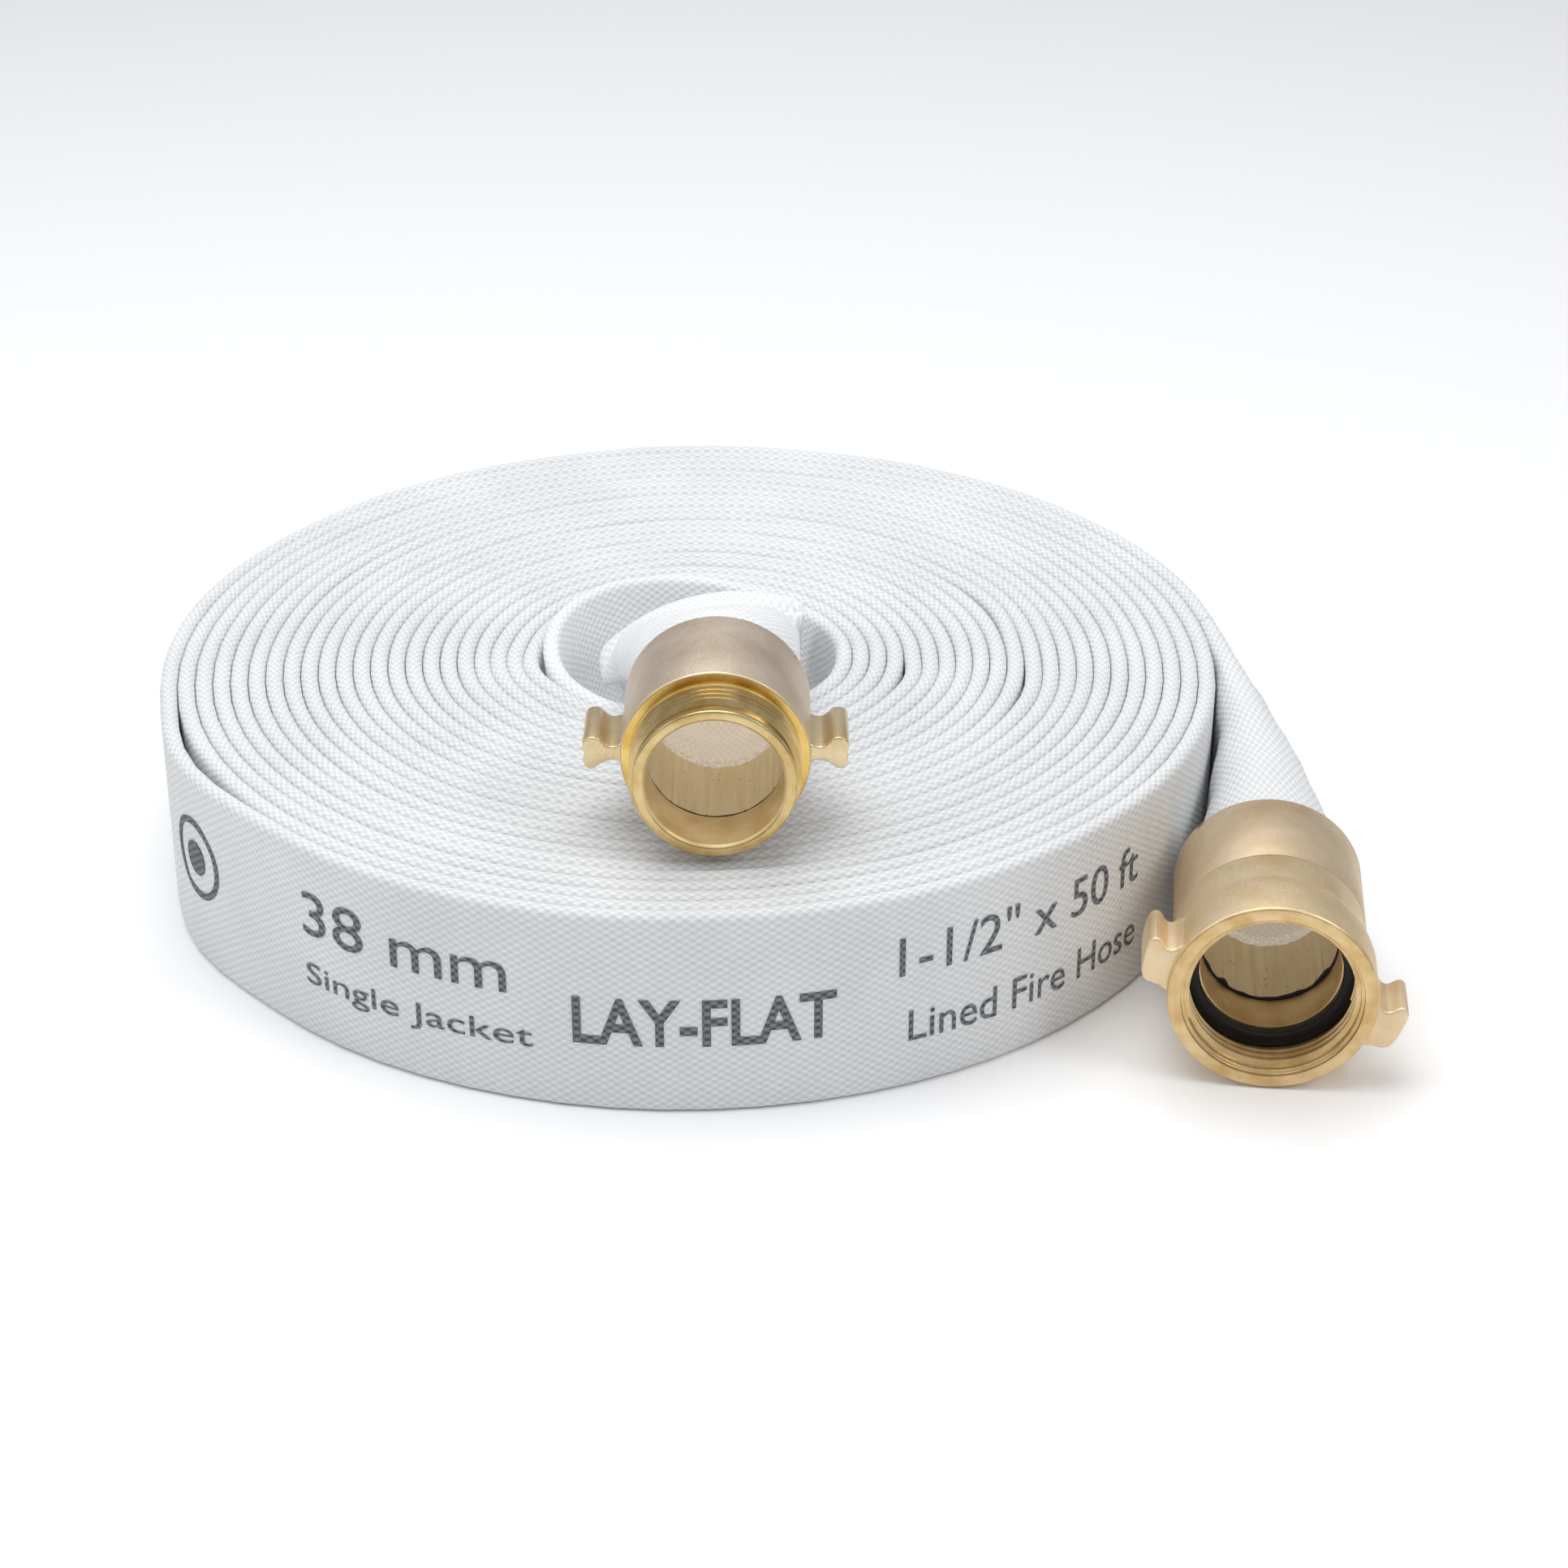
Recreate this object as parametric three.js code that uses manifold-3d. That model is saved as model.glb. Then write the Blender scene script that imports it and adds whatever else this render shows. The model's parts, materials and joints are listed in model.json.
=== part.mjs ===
// A rolled 38 mm attack hose: one lay-flat hose wound on its edge, with a male
// coupling on the inner end and a swivelling female coupling on the outer end.
// Millimetres, +Z up. The roll is drawn about its own axis, standing on Z = 0,
// and the finished object is then centred over the origin.
import * as THREE from 'three';
import { LoftGeometry } from 'three/addons/geometries/LoftGeometry.js';
import { mergeVertices } from 'three/addons/utils/BufferGeometryUtils.js';
import Module from 'manifold-3d';

// ---- Driving dimensions -------------------------------------------------

const FLAT_WIDTH = 63.4; // of the lay-flat hose, so the height of the roll
const LAP_THICKNESS = 5; // two jackets and two liners pressed together
const LAP_PITCH = 5.35;
const OUTER_RADIUS = 167;
const OUTER_END = THREE.MathUtils.degToRad(8); // where the outer lap leaves the roll
const INNER_END = THREE.MathUtils.degToRad(-60); // where the inner lap leaves the wall
const FULL_TURNS = 22;

const CLEARANCE = 0.3; // between pieces that touch
const BORE = 19.05; // radius of the waterway, a 38.1 mm bore
const THREAD_MAJOR = 23.85; // 47.7 mm hose thread
const THREAD_DEPTH = 1.3;
const THREAD_PITCH = 2.6;

const RING_WALL = 0.85; // expansion ring
const LINER_WALL = 0.7;
const JACKET_WALL = 1.3;
const RING_RADIUS = BORE + RING_WALL;
const LINER_RADIUS = RING_RADIUS + CLEARANCE + LINER_WALL;
const JACKET_RADIUS = LINER_RADIUS + CLEARANCE + JACKET_WALL;
const SOCKET_RADIUS = JACKET_RADIUS + CLEARANCE; // inside of a coupling's bowl

const MALE_LENGTH = 51.5;
const MALE_SHOULDER = 16.5; // from the thread face back to the bowl's shoulder
const MALE_RADIUS = 26.3;
const MALE_PLACE = new THREE.Vector3(9.4, -138, 90);

const FEMALE_LENGTH = 67;
const FEMALE_SHOULDER = 31;
const FEMALE_RADIUS = 27.3;
const NUT_LENGTH = 33;
const NUT_RADIUS = 29.2;
const NUT_BORE = 24.6;
const GASKET_SEAT = 13.6; // from the mouth back to the swivel gasket
const GASKET_THICKNESS = 3.2;
const RACE_RADIUS = 24.3;
const RACE_DEPTH = 26.4; // from the mouth back to the ball race
const BALL_RADIUS = 1.59; // 3.175 mm balls
const BALL_COUNT = 24;
const FEMALE_PLACE = new THREE.Vector3(163.2, -151, 29.6);
const FEMALE_YAW = THREE.MathUtils.degToRad(-6);
const LUG_TURN = THREE.MathUtils.degToRad(-15);

const RING_LENGTH = 29;
const TAIL_GASKET_THICKNESS = 3;
const ROUND_STRETCH = 12; // of the tail behind a bowl
const LEAVE_GAP = 0.12; // from the roll to the riser, in stations
const FOLD_GAP = 0.03; // from the riser to the inner tail

const TURN_STEPS = 40; // segments around turned pieces
const ROLL_STEPS = 72; // segments around the roll

// ---- Materials ----------------------------------------------------------

const paint = (color, roughness, metalness) =>
  new THREE.MeshStandardMaterial({ color, roughness, metalness });
const MATERIALS = {
  jacket: paint(0xe9eae6, 0.9, 0),
  liner: paint(0xe6dcc6, 0.6, 0),
  brass: paint(0xcfae7c, 0.45, 1),
  ring: paint(0xcdbb7c, 0.3, 1),
  rubber: paint(0x141414, 0.8, 0),
  steel: paint(0xb9bcc0, 0.25, 1),
};

// ---- Solids -------------------------------------------------------------

const wasm = await Module();
wasm.setup();

// A geometry with shared corners whose faces point out.
function closed(geometry) {
  const places = new THREE.BufferGeometry();
  places.setAttribute('position', geometry.attributes.position);
  if (geometry.index) places.setIndex(geometry.index);
  const shell = mergeVertices(places, 1e-4);
  const index = [...shell.index.array];
  const corner = (i) => new THREE.Vector3().fromBufferAttribute(shell.attributes.position, i);
  let volume = 0;
  const kept = [];
  for (let i = 0; i < index.length; i += 3) {
    const [a, b, c] = index.slice(i, i + 3);
    if (a === b || b === c || c === a) continue;
    kept.push(a, b, c);
    volume += corner(a).dot(corner(b).cross(corner(c)));
  }
  shell.setIndex(volume < 0 ? kept.reverse() : kept);
  return shell;
}

function solid(geometry) {
  const shell = closed(geometry);
  return new wasm.Manifold(
    new wasm.Mesh({
      numProp: 3,
      vertProperties: new Float32Array(shell.attributes.position.array),
      triVerts: new Uint32Array(shell.index.array),
    }),
  );
}

function fromSolid(manifold) {
  const { vertProperties, triVerts } = manifold.getMesh();
  const geometry = new THREE.BufferGeometry();
  geometry.setAttribute('position', new THREE.BufferAttribute(vertProperties, 3));
  geometry.setIndex(new THREE.BufferAttribute(triVerts, 1));
  return geometry;
}

// Turns a closed outline of [radius, distance behind the mouth] points about
// local Z, with the mouth at Z = 0 and the rest behind it at negative Z.
function turned(outline, steps = TURN_STEPS) {
  const points = outline.map(([radius, behind]) => new THREE.Vector2(radius, -behind));
  points.push(points[0].clone());
  return closed(new THREE.LatheGeometry(points, steps).rotateX(Math.PI / 2));
}

const tube = (inner, outer, from, to) =>
  turned([[inner, from], [outer, from], [outer, to], [inner, to]]);

function addPiece(parent, name, geometry, material) {
  const mesh = new THREE.Mesh(geometry, MATERIALS[material]);
  mesh.name = name;
  parent.add(mesh);
  return mesh;
}

// ---- Hose sections and routes -------------------------------------------

const FLAT_HALF = LAP_THICKNESS / 2;
const PERIMETER = 2 * Math.PI * FLAT_HALF + 4 * (FLAT_WIDTH / 2 - FLAT_HALF);
const ROUND_RADIUS = PERIMETER / (2 * Math.PI);
const END_ARC_STEPS = 12;
const STATION_STEPS = 4; // sections from one station of a route to the next

// The hose's outline when its half thickness is `half`: two flats and two round
// folds, the same length around however far it is opened.
function hoseOutline(half, inset = 0) {
  const wide = PERIMETER / 4 - (half * Math.PI) / 2 + half;
  const flat = Math.max(wide - half, 0.15);
  const points = [];
  for (const side of [1, -1]) {
    for (let i = 0; i <= END_ARC_STEPS; i++) {
      const angle = (i / END_ARC_STEPS - 0.5) * Math.PI;
      const radius = half - inset;
      const across = side * (flat + radius * Math.cos(angle));
      points.push([across, side * radius * Math.sin(angle)]);
    }
  }
  return points;
}

// Sections along a route of stations, between two counts of stations passed.
// Each station has a place, the direction of the hose's width, its half
// thickness and how far its edges bow down.
function routeSections(stations, from, to, steps, inset = 0) {
  const curve = new THREE.CatmullRomCurve3(stations.map((s) => s.place), false, 'centripetal');
  const sections = [];
  for (let i = 0; i <= steps; i++) {
    const passed = THREE.MathUtils.lerp(from, to, i / steps);
    const k = Math.min(Math.floor(passed), stations.length - 2);
    const f = THREE.MathUtils.smoothstep(passed - k, 0, 1);
    const [a, b] = [stations[k], stations[k + 1]];
    const centre = curve.getPoint(passed / (stations.length - 1));
    const along = curve.getTangent(passed / (stations.length - 1));
    const width = a.width.clone().lerp(b.width, f);
    width.addScaledVector(along, -width.dot(along)).normalize();
    const out = width.clone().cross(along);
    const half = THREE.MathUtils.lerp(a.half, b.half, f);
    const bow = THREE.MathUtils.lerp(a.bow ?? 0, b.bow ?? 0, f);
    sections.push(hoseOutline(half, inset).map(([across, through]) => {
      const sag = bow * (across / (FLAT_WIDTH / 2)) ** 2;
      return centre.clone().addScaledVector(width, across).addScaledVector(out, through - sag);
    }));
  }
  return sections;
}

// A skin over the sections, drawn in to a point at each end.
function skinned(sections) {
  const toPoint = (section) => {
    const middle = new THREE.Vector3();
    section.forEach((p) => middle.addScaledVector(p, 1 / section.length));
    return section.map(() => middle);
  };
  return closed(new LoftGeometry([toPoint(sections[0]), ...sections, toPoint(sections.at(-1))]));
}

// A stretch of hose that is open at its last station and pressed shut up to
// the station `openFrom`.
function openHose(stations, from, openFrom) {
  const last = stations.length - 1;
  const outside = routeSections(stations, from, last, Math.round((last - from) * STATION_STEPS));
  const inside = routeSections(stations, openFrom, last, (last - openFrom) * STATION_STEPS, JACKET_WALL);
  return skinned([...outside, ...inside.reverse()]);
}

const UP = new THREE.Vector3(0, 0, 1);
const station = (x, y, z, width, half, bow) => ({
  place: new THREE.Vector3(x, y, z),
  width: new THREE.Vector3(...width),
  half,
  bow,
});

// ---- The roll -----------------------------------------------------------

const INNER_TO_OUTER =
  2 * Math.PI * FULL_TURNS + ((INNER_END - OUTER_END + 2 * Math.PI) % (2 * Math.PI));
const OUTER_LAP_RADIUS = OUTER_RADIUS - LAP_THICKNESS / 2;
const INNER_LAP_RADIUS = OUTER_LAP_RADIUS - (LAP_PITCH * INNER_TO_OUTER) / (2 * Math.PI);

// One turn of a spiral edge that loses one pitch anticlockwise from `start`.
function spiralTurn(start, radius, steps) {
  const points = [];
  for (let i = 0; i <= steps; i++) {
    const angle = start + (2 * Math.PI * i) / steps;
    const r = radius - (LAP_PITCH * i) / steps;
    points.push(new THREE.Vector2(r * Math.cos(angle), r * Math.sin(angle)));
  }
  return points;
}

// The inner end leaves the wall of the core, stands up in it, folds over and
// opens towards the male coupling.
const FOLD_STATION = 6;
const onLap = (radius, angle) =>
  new THREE.Vector3(radius, 0, FLAT_WIDTH / 2).applyAxisAngle(UP, angle);
const innerLeave = onLap(INNER_LAP_RADIUS, INNER_END);
const innerRoute = [
  station(innerLeave.x, innerLeave.y, innerLeave.z, [0, 0, 1], FLAT_HALF),
  station(27, -30.8, 32, [0, 0, 1], FLAT_HALF),
  station(29.5, -19, 34.7, [-0.1, -0.2, 1], FLAT_HALF),
  station(17, -5, 43, [-0.6, -0.5, 0.5], FLAT_HALF),
  station(6, 5, 60, [-1, -0.2, 0.1], FLAT_HALF, 3),
  station(4, 6, 77, [-1, -0.25, -0.15], 3, 8),
  station(4.5, -10, 82.5, [-1, -0.2, -0.15], 4, 8),
  station(7, -34, 86, [-1, -0.1, -0.1], 9, 4),
  station(8.8, -58, 88.5, [-1, 0, -0.03], 15, 1),
];

function rollBody() {
  const shape = new THREE.Shape(spiralTurn(OUTER_END, OUTER_RADIUS, ROLL_STEPS));
  const coreRadius = INNER_LAP_RADIUS - LAP_THICKNESS / 2 + LAP_PITCH;
  shape.holes.push(new THREE.Path(spiralTurn(INNER_END, coreRadius, ROLL_STEPS / 2).reverse()));
  const edge = 1.6;
  const ring = new THREE.ExtrudeGeometry(shape, {
    depth: FLAT_WIDTH - 2 * edge,
    bevelThickness: edge,
    bevelSize: edge,
    bevelOffset: -edge,
    bevelSegments: 2,
  }).translate(0, 0, edge);
  return closed(ring);
}

const riser = () => skinned(
  routeSections(innerRoute, LEAVE_GAP, FOLD_STATION, FOLD_STATION * STATION_STEPS));

// ---- Tails and what is clamped inside the bowls ---------------------------

// Local frame of a coupling: Z out of its mouth, X to the right seen from there.
function couplingFrame(place, yaw, roll = 0) {
  const frame = new THREE.Group();
  frame.position.copy(place);
  frame.rotation.set(Math.PI / 2, 0, 0);
  frame.rotation.order = 'ZXY';
  frame.rotation.z = yaw;
  frame.rotateZ(roll);
  frame.updateMatrixWorld(true);
  return frame;
}

// Stations of the hose's round end, from behind the bowl to its shoulder.
function socketStations(frame, length, shoulder) {
  const width = new THREE.Vector3(-1, 0, 0).transformDirection(frame.matrixWorld);
  const at = (behind, half) => ({
    place: new THREE.Vector3(0, 0, -behind).applyMatrix4(frame.matrixWorld),
    width,
    half,
  });
  return [
    at(length + ROUND_STRETCH, ROUND_RADIUS),
    at(length, JACKET_RADIUS),
    at(shoulder + TAIL_GASKET_THICKNESS + 2 * CLEARANCE, JACKET_RADIUS),
  ];
}

function addSocket(frame, end, shoulder, length) {
  const gasketFrom = shoulder + CLEARANCE;
  const hoseFrom = gasketFrom + TAIL_GASKET_THICKNESS + CLEARANCE;
  addPiece(frame, `${end}_tail_gasket`,
    tube(RING_RADIUS + CLEARANCE, JACKET_RADIUS, gasketFrom, hoseFrom - CLEARANCE), 'rubber');
  addPiece(frame, `${end}_expansion_ring`,
    tube(BORE, RING_RADIUS, gasketFrom, gasketFrom + RING_LENGTH), 'ring');
  addPiece(frame, `${end}_hose_liner`,
    tube(LINER_RADIUS - LINER_WALL, LINER_RADIUS, hoseFrom, length), 'liner');
}

// ---- Male coupling --------------------------------------------------------

// Grooves of an outside thread as outline points between two depths.
function threadOutline(major, minor, from, to) {
  const points = [];
  for (let z = from; z + THREAD_PITCH <= to + 1e-6; z += THREAD_PITCH) {
    points.push([major, z], [minor, z + THREAD_PITCH / 2]);
  }
  points.push([major, to]);
  return points;
}

// A rocker lug seen from the mouth: a neck with a two-horned head, along +X.
function rockerLug(root, tip, neck, head, saddle) {
  const horn = tip - (tip - root) * 0.42;
  const shape = new THREE.Shape([
    [root, -neck / 2], [horn, -neck / 2], [horn, -head / 2], [tip - 1, -head / 2],
    [tip, -head / 2 + 1.2], [tip - saddle, 0], [tip, head / 2 - 1.2], [tip - 1, head / 2],
    [horn, head / 2], [horn, neck / 2], [root, neck / 2],
  ].map(([x, y]) => new THREE.Vector2(x, y)));
  return shape;
}

function lugSolids(shape, from, to) {
  const lugs = [0, Math.PI].map((turn) =>
    solid(new THREE.ExtrudeGeometry(shape, { depth: to - from, bevelEnabled: false })
      .translate(0, 0, -to)
      .rotateZ(turn)));
  return lugs[0].add(lugs[1]);
}

function maleBody() {
  const minor = THREAD_MAJOR - THREAD_DEPTH;
  const shell = solid(turned([
    [BORE, MALE_SHOULDER], [BORE, 0.9], [BORE + 0.9, 0], [minor, 0],
    ...threadOutline(THREAD_MAJOR, minor, 1.4, 1.4 + 4 * THREAD_PITCH),
    [minor, 12.6], [minor, 15.4], [MALE_RADIUS - 1, 15.4], [MALE_RADIUS, 16.4],
    [MALE_RADIUS, MALE_LENGTH - 0.8], [MALE_RADIUS - 0.8, MALE_LENGTH],
    [SOCKET_RADIUS + 0.6, MALE_LENGTH], [SOCKET_RADIUS, MALE_LENGTH - 0.8],
    [SOCKET_RADIUS, MALE_SHOULDER],
  ]));
  const lug = rockerLug(MALE_RADIUS - 1.2, 36.8, 4, 8.6, 0.8);
  return fromSolid(shell.add(lugSolids(lug, 18, 37)));
}

// ---- Female coupling ------------------------------------------------------

// Both halves of the ball race: `side` is -1 for the groove in the tailpiece
// and 1 for the one in the nut.
function raceGroove(face, side) {
  const deep = RACE_RADIUS + side * (BALL_RADIUS + 0.25);
  const [mouth, floor] = [2.15, 1.15];
  return [
    [face, RACE_DEPTH - mouth], [deep, RACE_DEPTH - floor],
    [deep, RACE_DEPTH + floor], [face, RACE_DEPTH + mouth],
  ];
}

function femaleBowl() {
  const front = GASKET_SEAT + GASKET_THICKNESS + CLEARANCE;
  const neck = NUT_BORE - 0.5;
  return turned([
    [BORE + 0.6, FEMALE_SHOULDER], [BORE + 0.6, front], [neck, front],
    ...raceGroove(neck, -1),
    [neck, NUT_LENGTH + CLEARANCE], [FEMALE_RADIUS, NUT_LENGTH + CLEARANCE],
    [FEMALE_RADIUS, FEMALE_LENGTH - 1.4], [FEMALE_RADIUS - 1.4, FEMALE_LENGTH],
    [SOCKET_RADIUS + 0.6, FEMALE_LENGTH], [SOCKET_RADIUS, FEMALE_LENGTH - 0.8],
    [SOCKET_RADIUS, FEMALE_SHOULDER],
  ]);
}

function swivelNut() {
  const major = THREAD_MAJOR + 0.35;
  const minor = major - THREAD_DEPTH;
  const recess = NUT_BORE;
  const shell = solid(turned([
    [recess, GASKET_SEAT - CLEARANCE], [minor, GASKET_SEAT - CLEARANCE],
    ...threadOutline(minor, major, 1.6, 1.6 + 4 * THREAD_PITCH).reverse(),
    [minor, 1.4], [major + 1, 1.4], [major + 1, 0],
    [NUT_RADIUS - 0.8, 0], [NUT_RADIUS, 0.8], [NUT_RADIUS, 15],
    [FEMALE_RADIUS, 21], [FEMALE_RADIUS, NUT_LENGTH], [recess, NUT_LENGTH],
    ...raceGroove(recess, 1).reverse(),
  ]));
  const lug = rockerLug(NUT_RADIUS - 1.2, 37.75, 6.5, 13, 1.6);
  return shell.add(lugSolids(lug, 2, 18));
}

// The plug that closes the hole through which the balls are fed into the race.
const PLUG_RADIUS = 1.9;
const PLUG_INNER = RACE_RADIUS + BALL_RADIUS + 0.25;
const PLUG_ANGLE = THREE.MathUtils.degToRad(245);

function radialPin(radius, inner, outer) {
  return new THREE.CylinderGeometry(radius, radius, outer - inner, 16)
    .translate(0, (inner + outer) / 2, 0)
    .rotateZ(PLUG_ANGLE - Math.PI / 2)
    .translate(0, 0, -RACE_DEPTH);
}

function addFemaleCoupling(frame, nutFrame) {
  addPiece(frame, 'female_bowl', femaleBowl(), 'brass');
  const hole = solid(radialPin(PLUG_RADIUS + CLEARANCE, PLUG_INNER - 2, NUT_RADIUS + 2));
  addPiece(nutFrame, 'swivel_nut', fromSolid(swivelNut().subtract(hole)), 'brass');
  addPiece(nutFrame, 'ball_race_plug',
    closed(radialPin(PLUG_RADIUS, PLUG_INNER, FEMALE_RADIUS - 0.2)), 'steel');
  addPiece(nutFrame, 'swivel_gasket',
    tube(BORE + 1, NUT_BORE - CLEARANCE, GASKET_SEAT, GASKET_SEAT + GASKET_THICKNESS), 'rubber');
  for (let i = 0; i < BALL_COUNT; i++) {
    const angle = (2 * Math.PI * i) / BALL_COUNT;
    const ball = closed(new THREE.IcosahedronGeometry(BALL_RADIUS, 1));
    const name = `race_ball_${String(i + 1).padStart(2, '0')}`;
    addPiece(frame, name, ball, 'steel').position.set(
      RACE_RADIUS * Math.cos(angle), RACE_RADIUS * Math.sin(angle), -RACE_DEPTH);
  }
}

// ---- Assembly -------------------------------------------------------------

const hose = new THREE.Group();
addPiece(hose, 'hose_roll', rollBody(), 'jacket');
addPiece(hose, 'inner_riser', riser(), 'jacket');

const male = couplingFrame(MALE_PLACE, 0);
hose.add(male);
addPiece(male, 'male_coupling_body', maleBody(), 'brass');
addSocket(male, 'male', MALE_SHOULDER, MALE_LENGTH);
const innerTail = [...innerRoute, ...socketStations(male, MALE_LENGTH, MALE_SHOULDER)];
addPiece(hose, 'inner_tail',
  openHose(innerTail, FOLD_STATION + FOLD_GAP, FOLD_STATION + 1), 'jacket');

const female = couplingFrame(FEMALE_PLACE, FEMALE_YAW);
const femaleNut = couplingFrame(FEMALE_PLACE, FEMALE_YAW, LUG_TURN);
hose.add(female, femaleNut);
addFemaleCoupling(female, femaleNut);
addSocket(female, 'female', FEMALE_SHOULDER, FEMALE_LENGTH);
const outerLeave = onLap(OUTER_LAP_RADIUS, OUTER_END);
const outerTail = [
  station(outerLeave.x, outerLeave.y - CLEARANCE, outerLeave.z, [0, 0, 1], FLAT_HALF),
  station(166.6, 0, 31.6, [0, 0, 1], 3.4),
  station(170.3, -26, 31, [0.02, 0, 1], 8.5),
  station(172, -50, 30.2, [0.05, 0, 1], 15),
  ...socketStations(female, FEMALE_LENGTH, FEMALE_SHOULDER)
    .map((s) => ({ ...s, width: new THREE.Vector3(0.05, 0, 1) })),
];
addPiece(hose, 'outer_tail', openHose(outerTail, 0, 2), 'jacket');

// The origin is under the middle of the object, on the surface it stands on.
const bounds = new THREE.Box3().setFromObject(hose, true);
const middle = bounds.getCenter(new THREE.Vector3());
hose.position.set(-middle.x, -middle.y, -bounds.min.z);

const group = new THREE.Group();
group.add(hose);

export default group;
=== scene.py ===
import json
import math

import bmesh
import bpy
from mathutils import Matrix, Vector, noise


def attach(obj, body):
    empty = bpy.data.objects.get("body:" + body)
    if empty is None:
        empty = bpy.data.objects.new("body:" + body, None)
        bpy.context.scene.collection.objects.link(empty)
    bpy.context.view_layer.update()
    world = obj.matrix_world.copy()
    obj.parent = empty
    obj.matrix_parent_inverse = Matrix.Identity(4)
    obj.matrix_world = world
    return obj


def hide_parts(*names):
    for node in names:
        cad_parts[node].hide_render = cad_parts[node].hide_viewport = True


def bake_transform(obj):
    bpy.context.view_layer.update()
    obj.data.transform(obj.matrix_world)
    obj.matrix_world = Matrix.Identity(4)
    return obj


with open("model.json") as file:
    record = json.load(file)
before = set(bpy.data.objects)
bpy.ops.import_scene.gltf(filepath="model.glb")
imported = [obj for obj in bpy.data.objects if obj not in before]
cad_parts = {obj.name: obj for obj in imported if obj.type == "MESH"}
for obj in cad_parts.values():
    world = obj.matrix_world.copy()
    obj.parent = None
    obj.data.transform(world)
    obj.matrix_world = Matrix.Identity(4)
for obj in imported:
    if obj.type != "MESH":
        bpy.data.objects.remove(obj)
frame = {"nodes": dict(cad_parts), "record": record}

MM = 0.001
TAU = 2 * math.pi
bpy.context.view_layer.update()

# ---- Camera ---------------------------------------------------------------
# A 75 mm lens a metre away, looking down on the roll from the front.
camera = bpy.data.objects.new("camera", bpy.data.cameras.new("camera"))
camera.data.lens, camera.data.sensor_width = 75, 36
camera.location = (0.00906, -0.91675, 0.51241)
camera.rotation_euler = (math.radians(61.5), 0, 0)
bpy.context.collection.objects.link(camera)
bpy.context.scene.camera = camera

# ---- The roll: lay-flat hose wound on its edge ----------------------------
# One circular-woven polyester jacket round a thin liner, pressed flat and wound
# tightly from the male end outwards. It stands on one fold; friction holds it.
mounts = {mount["name"]: Vector(mount["pos_m"]) for mount in frame["record"]["mounts"]}
AXIS = mounts["roll_underside"] + Vector((0.1, 0, 0))
AXIS.z = 0
FLAT_WIDTH = 63.4 * MM
LAP = 5.2 * MM  # two walls pressed together
PITCH = 5.35 * MM
OUTER_LAP = 164.5 * MM  # the middle of the outer lap, where it leaves the roll
OUTER_END = math.radians(8)
TURNS = 22 + 292 / 360
AROUND = TAU * LAP / 2 + 4 * (FLAT_WIDTH - LAP) / 2  # the hose's outline, however it lies
FOLD_QUARTER = math.pi * LAP / 4  # round half of one fold's outline
STEPS_A_TURN = 72

# Where a lap stands off the one inside it: bearing, half width in degrees,
# the radius of the gap and its size.
LOOSE = [
    (207, 17, 158, 3.4), (22, 20, 99, 1.4), (-168, 24, 46, 1.8),
    (-14, 15, 67, 1.2), (-15, 14, 103, 1.1), (150, 26, 128, 0.9),
    (80, 30, 75, 0.8), (-110, 26, 88, 0.7), (-60, 22, 141, 0.6),
]


def bell(off, half):
    """One at the middle, falling smoothly to nought at `half` away."""
    return 0 if abs(off) >= half else 0.5 + 0.5 * math.cos(math.pi * off / half)


def lap_place(turned):
    """The middle of the hose after it has turned this far in from its outer end."""
    bearing = OUTER_END + turned
    radius = OUTER_LAP - PITCH * turned / TAU
    for middle, half, at, gap in LOOSE:
        off = (math.degrees(bearing) - middle + 180) % 360 - 180
        outside = radius / MM - at
        if outside > 0:
            fading = max(0, 1 - outside / 22)
            radius += gap * MM * bell(off, half) * fading
    spot = Vector((math.cos(bearing), math.sin(bearing), turned / TAU * 0.8))
    radius += 0.35 * MM * noise.noise(Vector((spot.x * 2.1, spot.y * 2.1, 4)))
    lift = 0.55 * MM * noise.noise(spot * 2.3) + 0.25 * MM * noise.noise(spot * 7)
    lift *= min(1, turned / 0.4, (TAU * TURNS - turned) / 0.4)
    return AXIS + Vector((radius * math.cos(bearing), radius * math.sin(bearing),
                          FLAT_WIDTH / 2 + lift))


def lap_length(turned):
    """The length of hose from its outer end, after it has turned this far in."""
    return OUTER_LAP * turned - PITCH * turned ** 2 / (2 * TAU)


def hose_outline(along_edge, half):
    """Across and through the hose, at a distance round its outline from the lower fold."""
    flat = max(AROUND / 4 - math.pi * half / 2, 0)
    fold = math.pi * half / 2
    q = along_edge * max(1, TAU * half / AROUND)
    if q < fold:
        return -flat - half * math.cos(q / half), half * math.sin(q / half)
    if q < fold + 2 * flat:
        return -flat + q - fold, half
    q -= fold + 2 * flat
    if q < 2 * fold:
        return flat + half * math.sin(q / half), half * math.cos(q / half)
    if q < 2 * fold + 2 * flat:
        return flat - (q - 2 * fold), -half
    q -= 2 * fold + 2 * flat
    return -flat - half * math.sin(q / half), -half * math.cos(q / half)


def outline_columns(on_fold, on_flat):
    """Distances round the outline, close together on the two folds."""
    fold, flat = FOLD_QUARTER, FLAT_WIDTH - LAP
    places = []
    for start, length, count in (
        (0, fold, on_fold), (fold, flat, on_flat), (fold + flat, 2 * fold, 2 * on_fold),
        (3 * fold + flat, flat, on_flat), (3 * fold + 2 * flat, fold, on_fold),
    ):
        places += [start + length * i / count for i in range(count)]
    return places + [AROUND]


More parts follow.
